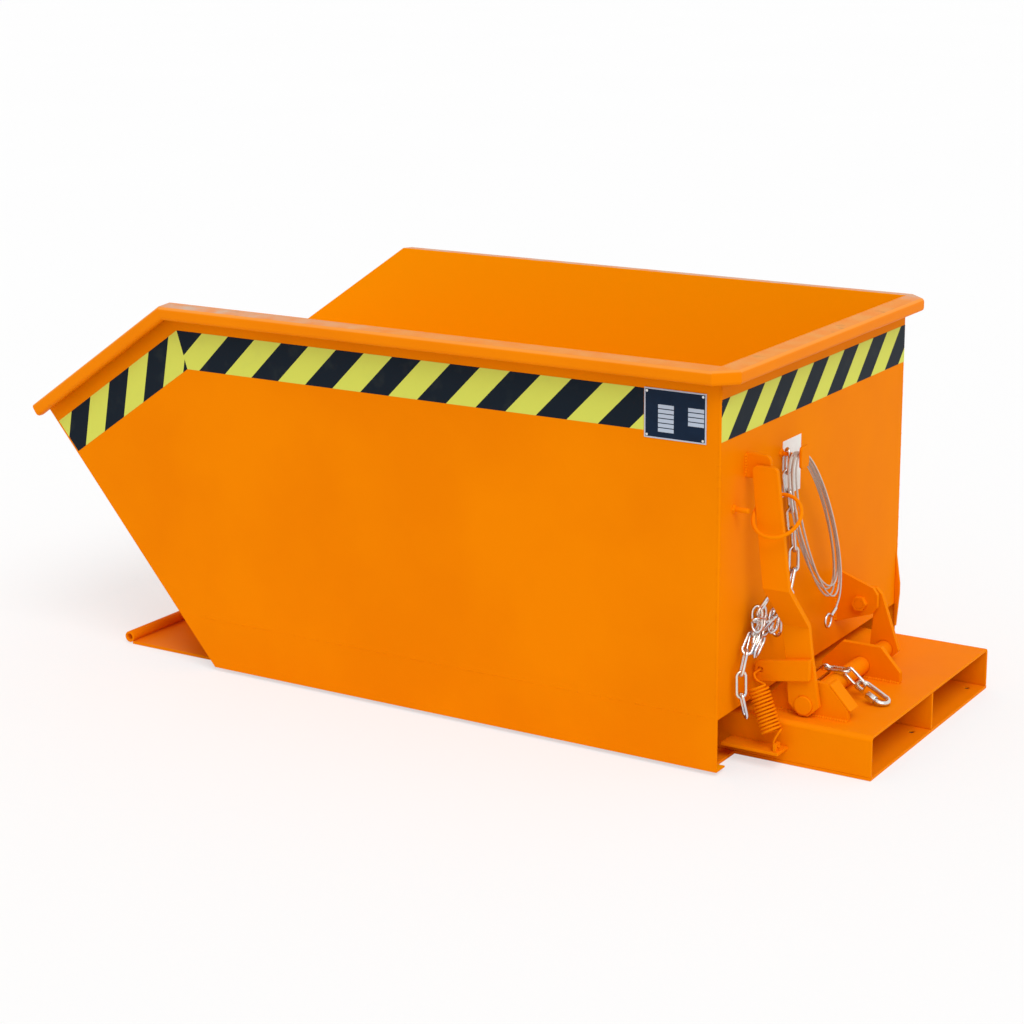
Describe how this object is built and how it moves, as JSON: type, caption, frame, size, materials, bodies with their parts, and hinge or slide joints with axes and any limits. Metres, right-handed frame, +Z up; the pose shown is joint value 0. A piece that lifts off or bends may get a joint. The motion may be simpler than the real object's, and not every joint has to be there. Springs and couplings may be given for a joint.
{
  "type": "forklift tipping skip",
  "caption": "Low sheet-steel tipping skip with a sloped pour chute, hinged on a fork-pocket base and held by a sprung latch lever.",
  "frame": {"origin": "on the ground, in the plane of the rear wall's outer face, at mid-width", "axes": "+X towards the fork entry and lever, -X towards the pour lip; +Z up; -Y is the side with the latch lever"},
  "size_m": [1.554, 0.756, 0.642],
  "materials": {
    "orange_paint": "semi-gloss powder coat",
    "zinc_steel": "bright zinc plate",
    "bare_steel": "drawn bar",
    "hazard_tape": "yellow and black diagonal stripes",
    "plate_metal": "dark blank plate with a pale border",
    "rivet_metal": "satin",
    "white_label": "matt film",
    "rope_sheath": "grey sheathed wire rope"
  },
  "bodies": {
    "base": {"base_floor_plate": "orange_paint", "base_deck": "orange_paint", "pocket_web": "orange_paint", "front_tubes": "orange_paint", "hinge_rod": "bare_steel", "latch_bracket_near": "orange_paint", "latch_bracket_centre": "orange_paint", "latch_stop": "orange_paint", "spring_ledge": "orange_paint", "spring_anchor": "orange_paint", "chain_lying": "zinc_steel", "quick_link": "zinc_steel", "latch_spring": "orange_paint"},
    "skip": {"side_wall_near": "orange_paint", "side_wall_far": "orange_paint", "rear_wall": "orange_paint", "floor_panel": "orange_paint", "chute_panel": "orange_paint", "floor_bearers": "orange_paint", "hinge_lug_near": "orange_paint", "hinge_lug_far": "orange_paint", "rim_near": "orange_paint", "rim_far": "orange_paint", "rim_rear": "orange_paint", "rim_corner_near": "orange_paint", "rim_corner_far": "orange_paint", "tape_side_near": "hazard_tape", "tape_side_far": "hazard_tape", "tape_slope_near": "hazard_tape", "tape_slope_far": "hazard_tape", "tape_rear": "hazard_tape", "rating_plate": "plate_metal", "plate_rivets": "rivet_metal", "blank_label": "white_label", "catch_bracket": "orange_paint", "catch_pin": "orange_paint", "catch_nut": "orange_paint", "rear_gusset": "orange_paint", "lever_keeper": "orange_paint", "ring_stub": "orange_paint", "rope_hook": "orange_paint", "release_rope": "rope_sheath", "rope_ferrule": "rivet_metal", "rope_eye": "rope_sheath", "chain_hanging": "zinc_steel"},
    "latch": {"latch_shaft": "orange_paint", "shaft_washers": "orange_paint", "latch_lever": "orange_paint", "latch_arm": "orange_paint", "latch_hook": "orange_paint"},
    "lock_ring": {"lock_ring": "orange_paint"},
    "link_sleeve": {"quick_link_sleeve": "zinc_steel"}
  },
  "joints": [
    {"name": "skip_tip", "type": "hinge", "parent": "base", "child": "skip", "pos_m": [-1.208, 0, 0.012], "axis": [0, -1, 0], "range_deg": [0, 90]},
    {"name": "latch_turn", "type": "hinge", "parent": "base", "child": "latch", "pos_m": [0.085, 0, 0.092], "axis": [0, 1, 0], "range_deg": [-2, 22], "stiffness_Nm_per_rad": 12, "springref_deg": 1.72, "deforming": ["latch_spring"]},
    {"name": "lock_ring_lift", "type": "slide", "parent": "latch", "child": "lock_ring", "axis": [-0.1276, 0, 0.9918], "range_m": [0, 0.03]},
    {"name": "link_sleeve_slide", "type": "slide", "parent": "base", "child": "link_sleeve", "axis": [-0.9045, 0.3015, 0.3015], "range_m": [0, 0.014]}
  ]
}
